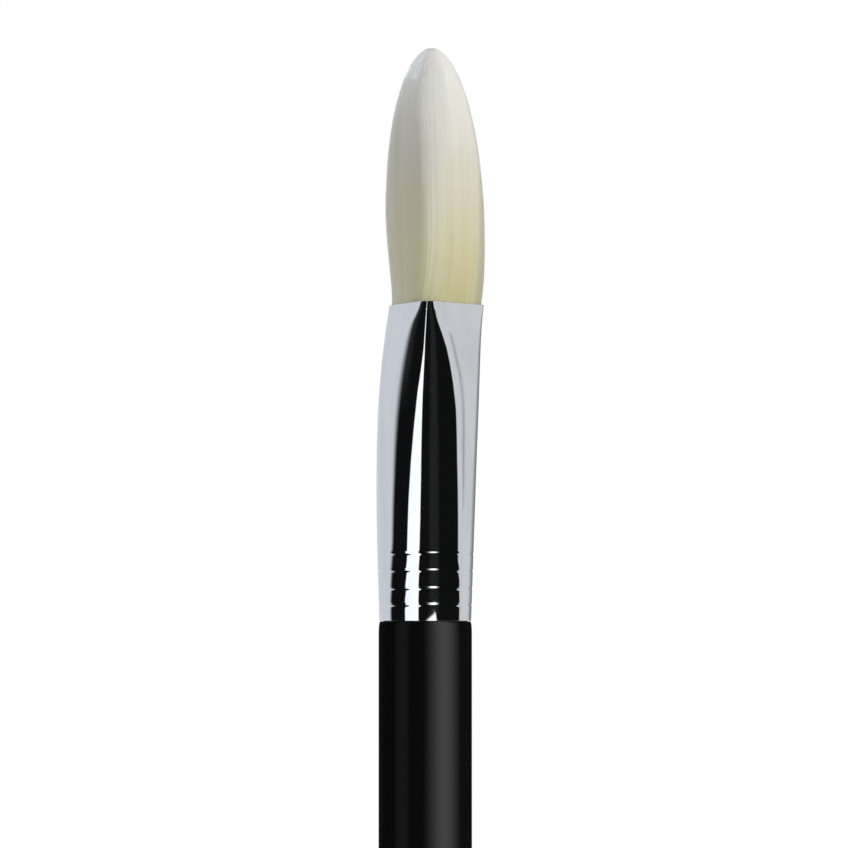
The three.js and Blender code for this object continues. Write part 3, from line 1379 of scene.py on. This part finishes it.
@dataclass(frozen=True)
class Tent:
    """A round tent that only mirrored rays meet, and that lights only some of the pieces."""

    name: str
    radius: float
    panels: tuple[Panel, ...]
    receivers: tuple[bpy.types.Object, ...]
    gauze: bool = False
    left_tint: Colour = (0.945, 0.975, 1.04)
    right_tint: Colour = (0.985, 1.0, 1.02)
    bottom: float = 0.05
    top: float = 205.0
    around: int = 180

    def hang(self, foot: float) -> None:
        """Hang the tent round the brush.

        Args:
            foot: The height of the ferrule's foot.
        """
        flat = circle(self.radius, self.around)
        rings = [lifted(flat, height) for height in (self.bottom, self.top)]
        glow = TentGlow(self.name, self.panels, foot, self.gauze, self.left_tint, self.right_tint)
        tent = loft(rings).piece(self.name, [glow])
        tent.active_material.cycles.emission_sampling = "NONE"
        lit = bpy.data.collections.new(f"{self.name}_lights")
        for piece in self.receivers:
            lit.objects.link(piece)
        tent.light_linking.receiver_collection = lit
        for ray in ("camera", "diffuse", "transmission", "volume_scatter", "shadow"):
            setattr(tent, f"visible_{ray}", False)


# Edges of panels: heights above the ferrule's foot, with the bearing at each
LEFT_SIDE_EDGE = (
    (0, -82), (3.5, -78.5), (8, -73.2), (15, -71.9), (22, -74.6), (26, -76.0),
    (32, -79.3), (36, -85.5), (38.3, -87), (40, -88),
)
RIGHT_ARCH_EDGE = (
    (0, 94), (3.5, 92), (6, 87), (17, 88.6), (23, 93.3), (26.4, 90.3), (28.8, 85.4),
    (30.5, 79.5), (31.8, 67), (32.5, 56.5), (33.5, 58), (35, 68),
)
RIGHT_FOLD = (
    (0, 98), (8, 100), (12, 103.6), (17, 103.8), (24, 104.2), (27, 104.2), (30, 103.7),
    (37, 103.6),
)
BESIDE_FOLD = (
    (0, 98.3), (8, 100.3), (12, 103.85), (17, 104.05), (24, 104.45), (27, 104.45),
    (30, 103.95), (33.5, 103.85), (34.5, 103.6), (37, 103.6),
)
STRIP_START = (
    (0, -40), (5, -34.3), (12, -30), (16.3, -26), (24.3, -15.9), (25.7, -12.6),
    (26.8, -9.8), (27.9, -7.3), (28.6, -5.8), (29.3, -5),
)
STRIP_END = (
    (0, -8.6), (3, -7.6), (9.4, -4.1), (14, -2.9), (24, -2.5), (25.4, -1.9), (28.5, -1.4),
    (29.3, -2),
)
GLINT_END = ((-1.5, 33.5), (-0.4, 30))
LEFT_SOFTNESS = ((0, 5), (15, 7), (26, 13), (34, 18))
RIDGE_START = ((33, -75), (40, -60), (48, -32), (60, -28))

# Round the ferrule: two bright sides, a fold in the right one, the front strip and the foot's glints
SHELL_PANELS = (
    Panel(-200, LEFT_SIDE_EDGE, 1, LEFT_SOFTNESS, 0.71),
    Panel(RIGHT_ARCH_EDGE, RIGHT_FOLD, 2, 0.45, 0.69),
    Panel(BESIDE_FOLD, 137, 0.45, 12, 0.69),
    Panel(137, 200, 12, 1, 0.25),
    Panel(STRIP_START, STRIP_END, 1, 1, 1.25),
    Panel(17, 36, 5, 5, 0.012),
    Panel(-76, -48, 6, 12, 0.016, bottom=26, seam=4),
    Panel(6, GLINT_END, 1, 1, 1.2, top=-1.55, top_lean=0.045, bottom=-1.7, seam=0.15),
    Panel(19, 33, 8, 8, 2.2, top=-2.2),
)

# Round the tuft: the front ridge, the left edge and the tip
TUFT_PANELS = (
    Panel(RIDGE_START, 50, 15, 15, 1.5),
    Panel(-2, 18, 10, 10, 1.7, top=46, bottom=36, seam=3),
    Panel(-161, -101, 15, 15, 1.9),
    Panel(-120, -35, 15, 15, 0.7, bottom=60, seam=3),
    Panel(-150, -75, 15, 15, 0.7, top=45, seam=5),
)

# Round the handle: the long highlight, a faint one left of it, the back, and an even glow at the butt
GRIP_PANELS = (
    Panel(25, 74, 24.5, 24.5, 1.25, bottom=-103, seam=17),
    Panel(-64, -32, 9, 9, 0.12),
    Panel(-200, -110, 1, 20, 0.01),
    Panel(168, 200, 14, 1, 0.8, bottom=-103, seam=17),
    Panel(-200, -160, 1, 14, 0.8, bottom=-103, seam=17),
    Panel(-200, 200, 1, 1, 0.93, top=-103, seam=17),
)


@dataclass(frozen=True)
class FloorPaint(Finish):
    """Matt white paint, lifted to white where the camera looks at it."""

    colour: Colour = (0.9, 0.9, 0.9)
    fleck_grain: Grain = (4.0, 4.0, 4.0)
    fleck_low: float = 0.98
    fleck_spread: float = 0.04
    lift: float = 0.32

    def surface(self, graph: Graph) -> Wire:
        """The floor's shader.

        Args:
            graph: The graph that its nodes are added to.

        Returns:
            The shader.
        """
        fleck = graph.noise(self.fleck_grain)
        tone = graph.tint(self.colour, self.fleck_low + self.fleck_spread * fleck)
        matt = graph.add("ShaderNodeBsdfDiffuse", sockets={"Color": tone})
        sockets = {"Color": WHITE, "Strength": self.lift * graph.seen()}
        glow = graph.add("ShaderNodeEmission", sockets=sockets)
        return graph.add("ShaderNodeAddShader", sockets={0: matt, 1: glow})


@dataclass(frozen=True)
class Lamp:
    """A broad soft lamp, far enough away to light the brush evenly.

    Its bearing is in degrees from the front, +X being at 90, its elevation is its height in degrees,
    and its spread is how broad it looks from the brush.
    """

    name: str
    bearing: float
    elevation: float
    spread: float
    strength: float
    colour: Colour = WHITE

    def hang(self) -> None:
        """Hang the lamp, out of the mirrors' sight."""
        lamp = bpy.data.lights.new(self.name, "SUN")
        lamp.energy = self.strength
        lamp.color = self.colour
        lamp.angle = math.radians(self.spread)
        stand = bpy.data.objects.new(self.name, lamp)
        across, up = math.radians(self.bearing), math.radians(self.elevation)
        level = math.cos(up)
        toward = Vector((math.sin(across) * level, -math.cos(across) * level, math.sin(up)))
        stand.rotation_mode = "QUATERNION"
        stand.rotation_quaternion = toward.to_track_quat("Z", "Y")
        stand.visible_glossy = False
        bpy.context.scene.collection.objects.link(stand)


@dataclass
class Studio:
    """Floor, sky, tents and lamps."""

    floor_radius: float = 1600.0
    floor_corners: int = 96
    sky_level: float = 0.09
    shell_tent_radius: float = 25.0
    tuft_tent_radius: float = 23.0
    grip_tent_radius: float = 24.0
    grip_tent_bottom: float = 0.4
    lamps: tuple[Lamp, ...] = (
        Lamp("key_lamp", 61, 18, 40, 1.44, (1.0, 0.985, 0.955)),
        Lamp("front_lamp", -25, 20, 40, 0.32),
        Lamp("rim_lamp", -135, 22, 60, 1.42, (0.95, 0.985, 1.0)),
        Lamp("back_lamp", 130, 20, 60, 1.8),
        Lamp("top_lamp", -60, 68, 60, 0.42),
    )

    def build(
        self,
        foot: float,
        shell: bpy.types.Object,
        tuft: Sequence[bpy.types.Object],
        grip: bpy.types.Object,
    ) -> None:
        """Set up the studio.

        Args:
            foot: The height of the ferrule's foot.
            shell: The ferrule.
            tuft: The tuft's pieces.
            grip: The handle.
        """
        self.lay_floor()
        self.light_sky()
        tents = (
            Tent("shell_tent", self.shell_tent_radius, SHELL_PANELS, (shell,)),
            Tent(
                "tuft_tent",
                self.tuft_tent_radius,
                TUFT_PANELS,
                tuple(tuft),
                gauze=True,
                left_tint=COOL,
                right_tint=COOL,
            ),
            Tent(
                "grip_tent",
                self.grip_tent_radius,
                GRIP_PANELS,
                (grip,),
                gauze=True,
                bottom=self.grip_tent_bottom,
            ),
        )
        for tent in tents:
            tent.hang(foot)
        for lamp in self.lamps:
            lamp.hang()

    def lay_floor(self) -> None:
        """A pale round floor, which shows white to the camera and keeps the shadow."""
        rim = lifted(circle(self.floor_radius, self.floor_corners), 0.0)
        floor = loft([rim, np.zeros((1, 3))]).piece("floor", [FloorPaint("floor")])

    def light_sky(self) -> None:
        """An even sky, which is white to the camera."""
        world = bpy.data.worlds.new("sky")
        world.use_nodes = True
        graph = Graph(world.node_tree)
        level = self.sky_level + (1 - self.sky_level) * graph.seen()
        sky = graph.add("ShaderNodeBackground", sockets={"Color": WHITE, "Strength": level})
        graph.add("ShaderNodeOutputWorld", sockets={"Surface": sky})
        bpy.context.scene.world = world


@dataclass
class Camera:
    """The camera, level with the ferrule's foot and a little to the right of the front edge."""

    bearing: float = 7.0
    distance: float = 520.0
    aim_height: float = 141.3
    aim_side: float = -0.134
    lens: float = 214.5
    sensor: float = 36.0
    nearest: float = 0.05
    farthest: float = 20.0

    def place(self, height: float) -> None:
        """Set the camera up as the scene's own.

        Args:
            height: Its height above the butt.
        """
        data = bpy.data.cameras.new("camera")
        data.lens = self.lens
        data.sensor_width = self.sensor
        data.clip_start = self.nearest
        data.clip_end = self.farthest
        stand = bpy.data.objects.new("camera", data)
        turn = math.radians(self.bearing)
        back = Vector((math.sin(turn), -math.cos(turn), 0.0))
        right = Vector((math.cos(turn), math.sin(turn), 0.0))
        eye = back * self.distance + Vector((0, 0, height))
        aim = right * self.aim_side + Vector((0, 0, self.aim_height))
        stand.location = eye * MM
        stand.rotation_mode = "QUATERNION"
        stand.rotation_quaternion = (aim - eye).to_track_quat("-Z", "Y")
        bpy.context.scene.collection.objects.link(stand)
        bpy.context.scene.camera = stand


def main() -> None:
    """Build the brush and its studio."""
    logging.basicConfig(level=logging.INFO, format="%(name)s: %(message)s")
    bpy.context.scene.view_settings.view_transform = "Standard"
    low, high = (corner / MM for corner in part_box("ferrule"))
    ferrule = Ferrule(foot=low.z, mouth=high.z - LIP_WEAR)
    handle = Handle(tenon_end=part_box("handle")[1].z / MM, ferrule=ferrule)
    form = TuftForm(ferrule, length=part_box("filament_tuft")[1].z / MM - TIP_WEAR - ferrule.mouth)
    grip = handle.build()
    shell = ferrule.build()
    tuft = [TuftBed(form).build(), *Strands(form).build()]
    for piece in [grip, shell, *tuft, *InnerPieces().dress()]:
        LOG.info("%s: %d faces", piece.name, len(piece.data.polygons))
    Studio().build(ferrule.foot, shell, tuft, grip)
    Camera().place(height=ferrule.foot)


if __name__ == "__main__":
    main()
